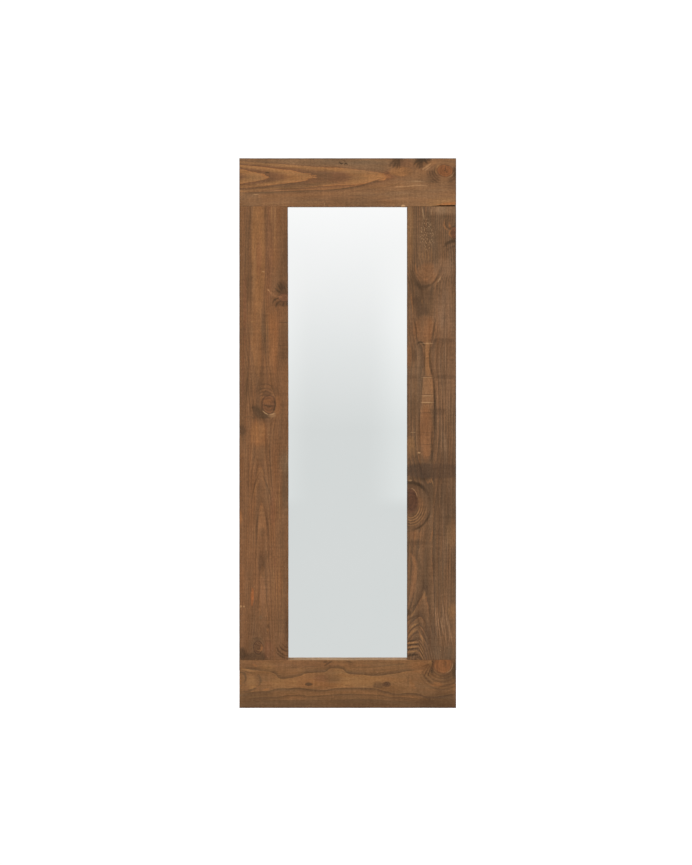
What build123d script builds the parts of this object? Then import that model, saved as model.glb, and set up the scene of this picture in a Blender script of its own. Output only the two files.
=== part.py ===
"""Full-length floor mirror in a wide plank frame.

Four rough-sawn boards are butt-jointed on dowels and tied by flat steel corner plates.
The glass sits in a rebate at the back, under a backing board that turn buttons hold in.
Two strap hangers with D-rings are screwed to the back, and four rubber bumpers stuck to it.

Frame: the origin is the middle of the bottom rail's lower edge, +Z is up, the glass faces -Y.
All lengths are in millimetres.
"""

import os

from build123d import *

# Plank frame
frame_width = 711.0
frame_height = 1803.0
stile_width = 160.0
rail_width = 158.0
board_thickness = 32.0
edge_radius = 1.5

# Glass, backing and the rebate that holds them
rebate_width = 10.0
glass_thickness = 4.0
foam_thickness = 1.0
backing_thickness = 5.0
glass_gap = 2.0
backing_gap = 1.0
glass_arris = 0.5
foam_width = 12.0
setting_block_length = 40.0

# Dowels in each corner joint
dowels_per_joint = 3
dowel_diameter = 10.0
dowel_length = 60.0
dowel_inset = 35.0
dowel_chamfer = 1.5
dowel_clearance = 0.1
dowel_end_gap = 0.5

# Countersunk screws, which hold the corner plates
plate_screw_diameter = 4.2
plate_screw_length = 25.0
plate_screw_head_diameter = 8.2
plate_screw_head_height = 2.2

# Pan-head screws, which hold the hangers and the turn buttons
pan_screw_diameter = 4.0
pan_screw_length = 22.0
pan_screw_head_diameter = 8.0
pan_screw_head_height = 2.8
pan_screw_head_crown = 1.0

# What all the screws share
screw_point_length = 5.0
screw_recess_span = 4.6
screw_recess_width = 1.0
screw_recess_depth = 1.2
screw_clearance = 0.08

# Flat corner plates
plate_leg = 150.0
plate_width = 25.0
plate_thickness = 2.5
plate_corner_radius = 4.0
plate_hole_from_joint = 22.0
plate_hole_from_end = 12.0

# Turn buttons
buttons_per_stile = 5
button_length = 38.0
button_width = 13.0
button_thickness = 1.6
button_hole_inset = 7.5
button_setback = 10.0
button_end_distance = 110.0
button_play = 0.2

# Strap hangers and their D-rings
hanger_drop = 420.0
ring_wire_diameter = 4.0
ring_depth = 26.0
ring_corner_radius = 4.0
ring_bar_room = 1.0
ring_play = 0.3
strap_width = 20.0
strap_thickness = 2.0
strap_corner_radius = 5.0
strap_screws = 3
strap_head_room = 7.0
strap_hole_pitch = 16.0
strap_end_margin = 9.0

# Rubber bumpers
bumper_diameter = 22.0
bumper_height = 10.0
bumper_chamfer = 2.0
bumper_inset = 25.0

# Places that follow from the sizes
half_width = frame_width / 2
opening_half_width = half_width - stile_width
rebate_half_width = opening_half_width + rebate_width
rebate_bottom = rail_width - rebate_width
rebate_top = frame_height - rebate_bottom
stile_bottom = rail_width
stile_top = frame_height - rail_width
mid_height = frame_height / 2
stile_centre = half_width - stile_width / 2

front_y = -board_thickness / 2
back_y = board_thickness / 2
rebate_depth = glass_thickness + foam_thickness + backing_thickness
glass_front_y = back_y - rebate_depth
foam_y = glass_front_y + glass_thickness
backing_y = foam_y + foam_thickness

glass_half_width = rebate_half_width - glass_gap
glass_bottom = rebate_bottom + glass_gap
glass_top = rebate_top - glass_gap

SIDES = {"left": -1, "right": 1}
ENDS = {"bottom": -1, "top": 1}


def box_between(low, high):
    """A box from its lowest to its highest corner."""
    size = [h - l for l, h in zip(low, high)]
    centre = [(l + h) / 2 for l, h in zip(low, high)]
    return Pos(*centre) * Box(*size)


def spread(first, last, count):
    """Evenly spaced places from first to last."""
    if count == 1:
        return [(first + last) / 2]
    return [first + (last - first) * i / (count - 1) for i in range(count)]


def from_end(end, distance):
    """The height at a distance from the frame's bottom (end -1) or top (end 1)."""
    return mid_height + end * (mid_height - distance)


def back_plane(x, z, lift=0.0):
    """A plane on the boards' back, or lifted off it, that faces the wall with its Y up."""
    return Plane(origin=(x, back_y + lift, z), x_dir=(-1, 0, 0), z_dir=(0, 1, 0))


def turned(*profile):
    """A solid turned about Z from a closed outline of (radius, height) points."""
    return revolve(Plane.XZ * make_face(Polyline(*profile, close=True)), Axis.Z)


def group(solids):
    """Separate like pieces that share one node."""
    return Compound(children=list(solids))


# Screw patterns, each place an (x, z) on the boards' back

dowel_places = spread(half_width - dowel_inset, opening_half_width + dowel_inset, dowels_per_joint)
plate_axis = (dowel_places[0] + dowel_places[1]) / 2
plate_elbow = rail_width - plate_leg / 2 + plate_width / 2
elbow_to_joint = rail_width - plate_elbow
elbow_to_end = plate_leg - plate_width / 2
plate_holes = [0.0, elbow_to_joint + plate_hole_from_joint, elbow_to_end - plate_hole_from_end]

hanger_height = frame_height - hanger_drop
loop_radius = ring_wire_diameter / 2 + ring_play + strap_thickness
ring_reach = ring_depth + ring_wire_diameter / 2
first_strap_hole = ring_reach + strap_head_room + pan_screw_head_diameter / 2
strap_holes = [first_strap_hole + i * strap_hole_pitch for i in range(strap_screws)]
strap_length = strap_holes[-1] + strap_end_margin

button_axis = rebate_half_width + button_setback
button_heights = spread(
    stile_bottom + button_end_distance, stile_top - button_end_distance, buttons_per_stile
)
button_head_lift = 2 * button_play + button_thickness


def plate_screw_places():
    """Five screws in each corner plate: one in its elbow and two along each leg."""
    for side in SIDES.values():
        for end in ENDS.values():
            for along in plate_holes:
                yield side * plate_axis, from_end(end, plate_elbow + along)
            for along in plate_holes[1:]:
                yield side * (plate_axis - along), from_end(end, plate_elbow)


def hanger_screw_places():
    """A row of screws down each hanger strap."""
    for side in SIDES.values():
        for below in strap_holes:
            yield side * stile_centre, hanger_height - below


def button_places():
    """Name, place and turn of each turn button; all point at the glass, and turn 0 points up."""
    for name, side in SIDES.items():
        for number, height in enumerate(button_heights, start=1):
            yield f"turn_button_{name}_{number}", (side * button_axis, height), -90 * side
    for name, end in ENDS.items():
        height = from_end(end, rebate_bottom - button_setback)
        yield f"turn_button_{name}", (0.0, height), 90 + 90 * end


# Boards


def pilot_holes():
    """Holes in the boards for every screw in their back."""
    plate_hole = Cylinder(plate_screw_diameter / 2 + screw_clearance, 2 * plate_screw_length)
    pan_hole = Cylinder(pan_screw_diameter / 2 + screw_clearance, 2 * pan_screw_length)
    for place in plate_screw_places():
        yield back_plane(*place) * plate_hole
    for place in hanger_screw_places():
        yield back_plane(*place) * pan_hole
    for _, place, _ in button_places():
        yield back_plane(*place) * pan_hole


def dowel_holes(end):
    """Holes for the dowels across the two joints at one end of the frame, bored into both boards."""
    depth = dowel_length + 2 * dowel_end_gap
    bore = Cylinder(dowel_diameter / 2 + dowel_clearance, depth)
    joint = from_end(end, rail_width)
    return [Pos(side * x, 0, joint) * bore for side in SIDES.values() for x in dowel_places]


def rebate():
    """The step that the glass and its backing fill, cut from the back round the opening."""
    return box_between(
        (-rebate_half_width, glass_front_y, rebate_bottom),
        (rebate_half_width, back_y + board_thickness, rebate_top),
    )


def rail(end):
    """A full-width board along the bottom (end -1) or the top (end 1)."""
    outer, inner = from_end(end, 0), from_end(end, rail_width)
    low, high = sorted((outer, inner))
    blank = box_between((-half_width, front_y, low), (half_width, back_y, high))
    outer_face = blank.faces().sort_by(Axis.Z)[0 if end < 0 else -1]
    blank = fillet(outer_face.edges() + blank.edges().filter_by(Axis.Z), edge_radius)
    return blank - [rebate(), *dowel_holes(end), *pilot_holes()]


def stile(side):
    """An upright board between the rails, on the left (side -1) or the right (side 1)."""
    low_x, high_x = sorted((side * opening_half_width, side * half_width))
    blank = box_between((low_x, front_y, stile_bottom), (high_x, back_y, stile_top))
    uprights = blank.edges().filter_by(Axis.Z)
    inner_back = uprights.sort_by_distance((side * opening_half_width, back_y, mid_height))[0]
    blank = fillet([edge for edge in uprights if edge != inner_back], edge_radius)
    return blank - [rebate(), *dowel_holes(-1), *dowel_holes(1), *pilot_holes()]


def joint_dowels():
    """Chamfered dowels, half in a stile and half in a rail."""
    peg = Cylinder(dowel_diameter / 2, dowel_length)
    peg = chamfer(peg.edges().filter_by(GeomType.CIRCLE), dowel_chamfer)
    for end in ENDS.values():
        for side in SIDES.values():
            for x in dowel_places:
                yield Pos(side * x, 0, from_end(end, rail_width)) * peg


# Glass and backing


def mirror_glass():
    """The silvered sheet, with its edges arrised, against the front of the rebate."""
    sheet = box_between(
        (-glass_half_width, glass_front_y, glass_bottom), (glass_half_width, foam_y, glass_top)
    )
    return chamfer(sheet.edges(), glass_arris)


def setting_blocks():
    """Two pads under the glass at its quarter points."""
    for side in SIDES.values():
        x = side * glass_half_width / 2
        yield box_between(
            (x - setting_block_length / 2, glass_front_y, rebate_bottom),
            (x + setting_block_length / 2, foam_y, glass_bottom),
        )


def foam_strips():
    """Foam tape between the glass and the backing, along all four edges."""
    for side in SIDES.values():
        low_x, high_x = sorted((side * (glass_half_width - foam_width), side * glass_half_width))
        yield box_between((low_x, foam_y, glass_bottom), (high_x, backing_y, glass_top))
    inner_x = glass_half_width - foam_width
    for low, high in (
        (glass_bottom, glass_bottom + foam_width),
        (glass_top - foam_width, glass_top),
    ):
        yield box_between((-inner_x, foam_y, low), (inner_x, backing_y, high))


def backing_board():
    """A plain board that closes the rebate flush with the frame's back."""
    half = rebate_half_width - backing_gap
    return box_between(
        (-half, backing_y, rebate_bottom + backing_gap), (half, back_y, rebate_top - backing_gap)
    )


# Screws


def cross_recess(top):
    """The driver's cross in a screw head whose top is at that height."""
    slot = Box(screw_recess_span, screw_recess_width, 2 * screw_recess_depth)
    return Pos(0, 0, top) * (slot + Rot(0, 0, 90) * slot)


def countersunk_screw():
    """A countersunk wood screw, its head's face at height 0 and its point down."""
    head, shank = plate_screw_head_diameter / 2, plate_screw_diameter / 2
    body = turned(
        (0, 0),
        (head, 0),
        (shank, -plate_screw_head_height),
        (shank, screw_point_length - plate_screw_length),
        (0, -plate_screw_length),
    )
    return body - cross_recess(0)


def pan_head_screw():
    """A pan-head wood screw, the underside of its head at height 0 and its point down."""
    head, shank = pan_screw_head_diameter / 2, pan_screw_diameter / 2
    top = pan_screw_head_height
    body = turned(
        (0, top),
        (head - pan_screw_head_crown, top),
        (head, top - pan_screw_head_crown),
        (head, 0),
        (shank, 0),
        (shank, screw_point_length - pan_screw_length),
        (0, -pan_screw_length),
    )
    return body - cross_recess(top)


# Hardware on the back


def corner_plate(side, end):
    """A flat L across one corner joint, with countersunk holes."""
    half = plate_width / 2
    leg = box_between((-half, -half, 0), (half, elbow_to_end, plate_thickness))
    arm = box_between((-half, -half, 0), (elbow_to_end, half, plate_thickness))
    blank = leg + arm
    corners = blank.edges().filter_by(Axis.Z)
    inside_corner = corners.sort_by_distance((half, half, plate_thickness / 2))[0]
    blank = fillet([edge for edge in corners if edge != inside_corner], plate_corner_radius)
    head = plate_screw_head_diameter / 2 + screw_clearance
    shank = plate_screw_diameter / 2 + screw_clearance
    hole = turned(
        (0, plate_thickness),
        (head, plate_thickness),
        (shank, plate_thickness - plate_screw_head_height),
        (shank, -plate_thickness),
        (0, -plate_thickness),
    )
    places = [(0, along) for along in plate_holes] + [(along, 0) for along in plate_holes[1:]]
    plate = blank - [Pos(x, y, 0) * hole for x, y in places]
    if end > 0:
        plate = plate.mirror(Plane.XZ)
    if side < 0:
        plate = plate.mirror(Plane.YZ)
    return back_plane(side * plate_axis, from_end(end, plate_elbow)) * plate


def turn_button(place, turn):
    """A flat steel tab with round ends, free to turn on its screw; turn 0 points it up."""
    half = button_width / 2
    reach = button_length - button_hole_inset
    tab = box_between((-half, half - button_hole_inset, 0), (half, reach - half, button_thickness))
    tab += Pos(0, reach - half, button_thickness / 2) * Cylinder(half, button_thickness)
    tab += Pos(0, half - button_hole_inset, button_thickness / 2) * Cylinder(half, button_thickness)
    tab -= Cylinder(pan_screw_diameter / 2 + screw_clearance, 4 * button_thickness)
    return back_plane(*place, button_play) * Rot(0, 0, turn) * tab


def hanger_strap(side):
    """A steel strap down the stile, rolled at its top into a loop for the ring."""
    x = side * stile_centre
    half = strap_width / 2
    blade = box_between(
        (x - half, back_y, hanger_height - strap_length),
        (x + half, back_y + strap_thickness, hanger_height),
    )
    ends = blade.edges().filter_by(Axis.Y).sort_by(Axis.Z)[:2]
    blade = fillet(ends, strap_corner_radius)
    loop_axis = Pos(x, back_y + loop_radius, hanger_height) * Rot(0, 90, 0)
    strap = blade + loop_axis * Cylinder(loop_radius, strap_width)
    strap -= loop_axis * Cylinder(loop_radius - strap_thickness, 2 * strap_width)
    hole = Cylinder(pan_screw_diameter / 2 + screw_clearance, 4 * strap_thickness)
    return strap - [back_plane(x, hanger_height - below) * hole for below in strap_holes]


def d_ring(side):
    """A closed wire D, hanging from its straight bar in the strap's loop."""
    shoulder = strap_width / 2 + ring_bar_room
    half = shoulder + ring_corner_radius
    drop = ring_depth - half
    bar = Line((0, 0), (shoulder, 0))
    corner = JernArc(bar @ 1, bar % 1, ring_corner_radius, -90)
    upright = Line(corner @ 1, (half, -drop))
    bow = JernArc(upright @ 1, upright % 1, half, -180)
    far_upright = Line(bow @ 1, (-half, -ring_corner_radius))
    far_corner = JernArc(far_upright @ 1, far_upright % 1, ring_corner_radius, -90)
    far_bar = Line(far_corner @ 1, (0, 0))
    outline = Wire([bar, corner, upright, bow, far_upright, far_corner, far_bar])
    section = Plane(origin=(0, 0, 0), z_dir=(1, 0, 0)) * Circle(ring_wire_diameter / 2)
    ring = sweep(section, path=outline)
    return back_plane(side * stile_centre, hanger_height, loop_radius) * ring


def wall_bumpers():
    """Rubber discs near the four corners, which stand the frame off the wall."""
    pad = Pos(0, 0, bumper_height / 2) * Cylinder(bumper_diameter / 2, bumper_height)
    pad = chamfer(pad.edges().filter_by(GeomType.CIRCLE).sort_by(Axis.Z)[-1], bumper_chamfer)
    for side in SIDES.values():
        for end in ENDS.values():
            yield back_plane(side * (half_width - bumper_inset), from_end(end, bumper_inset)) * pad


def placed(screw, places, lift):
    """Copies of one screw in the boards' back."""
    return group(back_plane(x, z, lift) * screw for x, z in places)


def build():
    nodes = {
        "bottom_rail": rail(-1),
        "top_rail": rail(1),
        "left_stile": stile(-1),
        "right_stile": stile(1),
        "joint_dowels": group(joint_dowels()),
        "mirror_glass": mirror_glass(),
        "setting_blocks": group(setting_blocks()),
        "foam_strips": group(foam_strips()),
        "backing_board": backing_board(),
        "corner_plate_screws": placed(countersunk_screw(), plate_screw_places(), plate_thickness),
        "hanger_screws": placed(pan_head_screw(), hanger_screw_places(), strap_thickness),
        "turn_button_screws": placed(
            pan_head_screw(), [place for _, place, _ in button_places()], button_head_lift
        ),
        "wall_bumpers": group(wall_bumpers()),
    }
    for end_name, end in ENDS.items():
        for side_name, side in SIDES.items():
            nodes[f"corner_plate_{end_name}_{side_name}"] = corner_plate(side, end)
    for side_name, side in SIDES.items():
        nodes[f"hanger_strap_{side_name}"] = hanger_strap(side)
        nodes[f"d_ring_{side_name}"] = d_ring(side)
    for name, place, turn in button_places():
        nodes[name] = turn_button(place, turn)
    return nodes


os.makedirs("parts", exist_ok=True)
for node, shape in build().items():
    export_step(shape, f"parts/{node}.step")
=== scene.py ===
"""Full-length mirror in a frame of weathered softwood boards, dressed on its CAD frame."""

import math

import bpy
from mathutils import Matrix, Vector, noise


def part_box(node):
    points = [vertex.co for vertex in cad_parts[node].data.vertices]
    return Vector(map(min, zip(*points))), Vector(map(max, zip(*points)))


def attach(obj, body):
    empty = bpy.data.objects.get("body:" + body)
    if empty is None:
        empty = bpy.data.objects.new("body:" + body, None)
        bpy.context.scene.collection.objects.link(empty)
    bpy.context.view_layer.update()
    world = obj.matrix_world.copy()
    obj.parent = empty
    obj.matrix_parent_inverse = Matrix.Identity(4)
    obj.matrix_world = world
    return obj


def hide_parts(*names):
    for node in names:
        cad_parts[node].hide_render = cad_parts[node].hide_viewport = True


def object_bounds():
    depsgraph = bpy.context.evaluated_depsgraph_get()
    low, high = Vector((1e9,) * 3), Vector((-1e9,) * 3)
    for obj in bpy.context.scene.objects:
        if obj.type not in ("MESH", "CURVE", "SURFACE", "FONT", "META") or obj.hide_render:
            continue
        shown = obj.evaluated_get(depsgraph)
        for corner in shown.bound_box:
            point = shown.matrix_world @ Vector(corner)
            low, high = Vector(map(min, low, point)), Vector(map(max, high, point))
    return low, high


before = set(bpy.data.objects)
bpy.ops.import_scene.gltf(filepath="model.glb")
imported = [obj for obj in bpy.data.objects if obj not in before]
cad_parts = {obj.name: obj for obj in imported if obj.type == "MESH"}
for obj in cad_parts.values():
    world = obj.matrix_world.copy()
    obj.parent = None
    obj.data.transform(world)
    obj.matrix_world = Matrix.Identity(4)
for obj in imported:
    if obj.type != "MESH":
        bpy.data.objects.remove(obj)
cad_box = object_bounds()

# Boards
# Four rough-sawn softwood boards, stained brown and worn, with butt joints at the corners.
# Each is drawn back from a fine face grid, its arrises eased, and rebated behind for the glass.

MM = 0.001
CELL = 0.003
ARRIS = 0.8 * MM
WEAR = 0.6 * MM
BROAD_WEAR, FINE_WEAR, FINE_SHARE = 38.0, 130.0, 0.4
FACE_BAND, EDGE_BAND = 1.5 * MM, 0.2 * MM
WALL_STEPS = 5
CUT_CLEAR = 50 * MM
SHARP, SMOOTH = math.radians(60), math.radians(35)

glass_low, glass_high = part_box("mirror_glass")
block_low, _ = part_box("setting_blocks")
board_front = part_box("bottom_rail")[0][1]
board_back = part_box("bottom_rail")[1][1]
glass_room = glass_low[2] - block_low[2]


def rebate_cutter():
    """The box that the glass and its backing fill, open at the back of the boards."""
    low = Vector((glass_low[0] - glass_room, glass_low[1], glass_low[2] - glass_room))
    high = Vector((glass_high[0] + glass_room, board_back + CUT_CLEAR, glass_high[2] + glass_room))
    bpy.ops.object.select_all(action="DESELECT")
    bpy.ops.mesh.primitive_cube_add(size=1, location=(low + high) / 2, scale=high - low)
    return bpy.context.object


def pick(piece):
    """Selects one piece alone."""
    bpy.ops.object.select_all(action="DESELECT")
    bpy.context.view_layer.objects.active = piece
    piece.select_set(True)


def apply_modifier(piece, kind, **settings):
    modifier = piece.modifiers.new(kind, kind)
    for name, value in settings.items():
        setattr(modifier, name, value)
    pick(piece)
    bpy.ops.object.modifier_apply(modifier=modifier.name)


def ease_edges(piece, width, segments):
    apply_modifier(
        piece, "BEVEL", width=width, segments=segments, limit_method="ANGLE", angle_limit=SHARP
    )


def wear_arrises(board, low, high):
    """Rubs the front arrises down by up to half a millimetre, always inward, and more in some places."""
    middle = (low + high) / 2
    for vertex in board.data.vertices:
        spot = vertex.co
        if spot.y > low.y + FACE_BAND:
            continue
        from_side = min(spot.x - low.x, high.x - spot.x)
        from_end = min(spot.z - low.z, high.z - spot.z)
        edge = min(from_side, from_end)
        rough = noise.noise(spot * BROAD_WEAR) + FINE_SHARE * noise.noise(spot * FINE_WEAR)
        rub = WEAR * max(0.0, rough)
        if edge < FACE_BAND:
            spot.y += rub
        if from_side == edge < EDGE_BAND:
            spot.x += math.copysign(rub, middle.x - spot.x)
        if from_end == edge < EDGE_BAND:
            spot.z += math.copysign(rub, middle.z - spot.z)


def sawn_board(name, node):
    """One board at its CAD size: a face grid, walls drawn back from its edge, a back and a rebate."""
    low, high = (Vector(corner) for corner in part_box(node))
    middle, size = (low + high) / 2, high - low
    bpy.ops.object.select_all(action="DESELECT")
    bpy.ops.mesh.primitive_grid_add(
        x_subdivisions=round(size.x / CELL),
        y_subdivisions=round(size.z / CELL),
        size=1,
        location=(middle.x, low.y, middle.z),
        rotation=(math.radians(90), 0, 0),
    )
    board = bpy.context.object
    board.name = name
    board.scale = (size.x, size.z, 1)
    bpy.ops.object.transform_apply(location=True, rotation=True, scale=True)
    bpy.ops.object.mode_set(mode="EDIT")
    bpy.ops.mesh.select_all(action="SELECT")
    bpy.ops.mesh.region_to_loop()
    for _ in range(WALL_STEPS):
        bpy.ops.mesh.extrude_edges_move(TRANSFORM_OT_translate={"value": (0, size.y / WALL_STEPS, 0)})
    bpy.ops.mesh.edge_face_add()
    bpy.ops.mesh.select_all(action="SELECT")
    bpy.ops.mesh.normals_make_consistent(inside=False)
    bpy.ops.object.mode_set(mode="OBJECT")
    ease_edges(board, ARRIS, segments=2)
    cutter = rebate_cutter()
    apply_modifier(board, "BOOLEAN", object=cutter, operation="DIFFERENCE", solver="EXACT")
    bpy.data.objects.remove(cutter)
    wear_arrises(board, low, high)
    pick(board)
    bpy.ops.object.shade_smooth_by_angle(angle=SMOOTH)
    board.data.materials.clear()
    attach(board, "frame")
    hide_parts(node)
    return board


def paint(red, green, blue):
    """A colour given as it shows on a screen, 0 to 255, in the linear light that shaders use."""
    channels = []
    for value in (red / 255, green / 255, blue / 255):
        channels.append(value / 12.92 if value <= 0.04045 else ((value + 0.055) / 1.055) ** 2.4)
    return (*channels, 1.0)


def join(value, socket):
    """Links a value into a socket, or sets it there when it is a constant."""
    if isinstance(value, bpy.types.NodeSocket):
        socket.id_data.links.new(value, socket)
    elif value is not None:
        socket.default_value = value


def home(values):
    """The node tree that the first linked one of these values is in."""
    return next(value.id_data for value in values if isinstance(value, bpy.types.NodeSocket))


def put(kind, *values, tree=None, out=0, **settings):
    """Adds a shader node, sets or links its inputs in order, and gives back one output."""
    made = (tree or home(values)).nodes.new("ShaderNode" + kind)
    for name, setting in settings.items():
        setattr(made, name, setting)
    for socket, value in zip(made.inputs, values):
        join(value, socket)
    return made.outputs[out]


def sums(operation, *values):
    return put("Math", *values, operation=operation)


def plus(first, second):
    return sums("ADD", first, second)


def minus(first, second):
    return sums("SUBTRACT", first, second)


def times(first, second):
    return sums("MULTIPLY", first, second)


def vectors(operation, *values, out=0):
    return put("VectorMath", *values, operation=operation, out=out)


def length_of(vector):
    return vectors("LENGTH", vector, out=1)


def ease(value, start, end, low=0.0, high=1.0):
    """A smooth step of value, from low at start to high at end."""
    return put("MapRange", value, start, end, low, high, interpolation_type="SMOOTHSTEP")


def fall(value, start, end):
    """A smooth step down, from one at start to nothing at end."""
    return ease(value, start, end, 1.0, 0.0)


def grains(place, stretch, detail=2.0, roughness=0.5):
    """Soft noise from 0 to 1, its patches per metre along each axis given by stretch."""
    return put("TexNoise", vectors("MULTIPLY", place, stretch), None, 1.0, detail, roughness)


MOST = (0.3, 0.7)


def spread(value, low=0.0, high=1.0):
    """Brings the range where most of a soft noise lies to low and high."""
    return put("MapRange", value, *MOST, low, high)


def over(amount, under, upper, blend_type="MIX"):
    """One colour laid over another."""
    unused = [None] * 5
    return put("Mix", amount, *unused, under, upper, out=2, data_type="RGBA", blend_type=blend_type)


def effect(name, inputs, outputs):
    """A new node group: its tree, what comes in and what goes out, by name."""
    tree = bpy.data.node_groups.new(name, "ShaderNodeTree")
    for label, value in inputs.items():
        kind = "NodeSocketVector" if isinstance(value, tuple) else "NodeSocketFloat"
        tree.interface.new_socket(label, in_out="INPUT", socket_type=kind).default_value = value
    for label in outputs:
        tree.interface.new_socket(label, in_out="OUTPUT", socket_type="NodeSocketFloat")
    return tree, tree.nodes.new("NodeGroupInput").outputs, tree.nodes.new("NodeGroupOutput").inputs


def use(group, **values):
    """A group placed beside its linked values, with its inputs set or linked by name."""
    made = home(values.values()).nodes.new("ShaderNodeGroup")
    made.node_tree = group
    for label, value in values.items():
        join(value, made.inputs[label.replace("_", " ")])
    return made.outputs


HERE, SIZE = (0.0, 0.0, 0.0), (0.02, 0.02, 1.0)
RING_DRIFT = 6 * MM


def growth_rings():
    """Rings cut by a flat face: their radius from a pith that wanders under the board."""
    tree, given, result = effect(
        "growth rings",
        {"along": 0.0, "across": 0.0, "depth": 0.0, "axis": 0.0, "pith": 0.05, "pitch": 0.01,
         "start": 0.0, "jag": 0.003, "ragged": 0.0},
        ("phase", "radius"),
    )
    spot = put("CombineXYZ", given["along"], given["across"], given["depth"])
    drift = times(minus(grains(spot, (5.0, 16.0, 16.0)), 0.5), RING_DRIFT)
    teeth = times(given["ragged"], given["jag"])
    under = plus(plus(given["pith"], given["depth"]), teeth)
    aside = minus(given["across"], given["axis"])
    squared = sums("MULTIPLY_ADD", aside, aside, times(under, under))
    radius = plus(sums("SQRT", squared), drift)
    count = sums("DIVIDE", minus(radius, given["start"]), given["pitch"])
    join(sums("FRACT", count), result["phase"])
    join(radius, result["radius"])
    return tree


FRINGE_SHARE = 0.35


def growth_line():
    """One late-wood line: dark from its edge outward, with a warm fringe on its inner side."""
    tree, given, result = effect(
        "growth line",
        {"across": 0.0, "line": 0.0, "fade": 0.01, "jag": 0.001, "ragged": 0.0, "blur": 0.0006},
        ("shade", "fringe"),
    )
    off = minus(given["across"], given["line"])
    off = sums("MULTIPLY_ADD", given["ragged"], given["jag"], off)
    side = sums("SIGN", given["fade"])
    outward = times(off, side)
    span = sums("ABSOLUTE", given["fade"])
    begin = ease(outward, times(given["blur"], -1.0), given["blur"])
    join(times(begin, fall(outward, 0.0, span)), result["shade"])
    inner = ease(outward, times(span, -FRINGE_SHARE), 0.0)
    join(times(inner, minus(1.0, begin)), result["fringe"])
    return tree


KNOT_RINGS, KNOT_RIPPLE, KNOT_WOBBLE = 17.0, 5.0, (0.45, 0.45, 0.0)
PUSH_SHAPE, PUSH_FADE = (1.45, 1.05, 1.0), -2.2


def branch_knot():
    """A branch cut across: its own rings, a bark rim, cracks, and how far it pushes the grain aside."""
    tree, given, result = effect(
        "branch knot",
        {"place": HERE, "shift": 0.0, "centre": HERE, "half size": SIZE, "turn": 0.0, "bend": 1.0,
         "seed": 0.0},
        ("shift", "core", "rim", "figure", "crack"),
    )
    away = vectors("SUBTRACT", given["place"], given["centre"])
    turned = put("VectorRotate", away, None, None, given["turn"], rotation_type="Z_AXIS")
    plain = vectors("DIVIDE", turned, given["half size"])
    seeded = vectors("ADD", plain, put("CombineXYZ", given["seed"], given["seed"], given["seed"]))
    wobble = put("TexNoise", seeded, None, 1.2, 2.0, 0.5, out=1)
    wobble = vectors("SUBTRACT", wobble, (0.5, 0.5, 0.5))
    rough = vectors("MULTIPLY_ADD", wobble, KNOT_WOBBLE, plain)
    radius = length_of(rough)
    join(fall(radius, 0.88, 1.04), result["core"])
    edge = sums("ABSOLUTE", minus(radius, 1.02))
    join(fall(edge, 0.02, 0.24), result["rim"])
    ripple = times(put("TexNoise", seeded, None, 2.5, 2.0), KNOT_RIPPLE)
    waves = sums("SINE", sums("MULTIPLY_ADD", radius, KNOT_RINGS, ripple))
    join(sums("MULTIPLY_ADD", waves, 0.5, 0.5), result["figure"])
    parts = put("SeparateXYZ", rough).node.outputs
    bearing = sums("ARCTAN2", parts[1], parts[0])
    around = put("CombineXYZ", bearing, given["seed"], 0.0)
    spokes = put("TexNoise", around, None, 2.2, 3.0, 0.7)
    split = times(ease(spokes, 0.60, 0.72), fall(radius, 0.15, 0.9))
    pith = fall(radius, 0.05, 0.20)
    join(sums("MAXIMUM", split, pith), result["crack"])
    distance = length_of(vectors("DIVIDE", plain, PUSH_SHAPE))
    fade = sums("POWER", sums("MAXIMUM", distance, 1.0), PUSH_FADE)
    aside = put("SeparateXYZ", away).node.outputs[1]
    pushed = times(times(aside, fade), given["bend"])
    join(minus(given["shift"], pushed), result["shift"])
    return tree


def stain_patch():
    """A soft spot with an edge that frays along the grain."""
    tree, given, result = effect(
        "stain patch",
        {"place": HERE, "centre": HERE, "half size": SIZE, "fray": 0.6, "soft": 0.4, "ragged": 0.0},
        ("mask",),
    )
    away = vectors("SUBTRACT", given["place"], given["centre"])
    plain = length_of(vectors("DIVIDE", away, given["half size"]))
    radius = sums("MULTIPLY_ADD", given["ragged"], given["fray"], plain)
    join(fall(radius, minus(1.0, given["soft"]), plus(1.0, given["soft"])), result["mask"])
    return tree


STROKE_HALF = 0.75


def brush_stroke():
    """A tapering streak from one point to another, bowed to one side."""
    tree, given, result = effect(
        "brush stroke",
        {"place": HERE, "start": HERE, "end": (0.01, 0.0, 0.0), "bow": 0.0, "width": 0.002,
         "ragged": 0.0},
        ("mask",),
    )
    run = vectors("SUBTRACT", given["end"], given["start"])
    length = length_of(run)
    ahead = vectors("NORMALIZE", run)
    aside = vectors("CROSS_PRODUCT", (0.0, 0.0, 1.0), ahead)
    away = vectors("SUBTRACT", given["place"], given["start"])
    share = sums("DIVIDE", vectors("DOT_PRODUCT", away, ahead, out=1), length)
    arch = times(times(share, minus(1.0, share)), 4.0)
    off = vectors("DOT_PRODUCT", away, aside, out=1)
    off = minus(off, times(arch, given["bow"]))
    off = sums("ABSOLUTE", sums("MULTIPLY_ADD", given["ragged"], given["width"], off))
    taper = sums("SQRT", sums("MAXIMUM", arch, 0.0))
    reach = sums("MULTIPLY_ADD", times(taper, given["width"]), STROKE_HALF, 1e-5)
    join(times(fall(sums("DIVIDE", off, reach), 0.2, 1.0), taper), result["mask"])
    return tree


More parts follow.
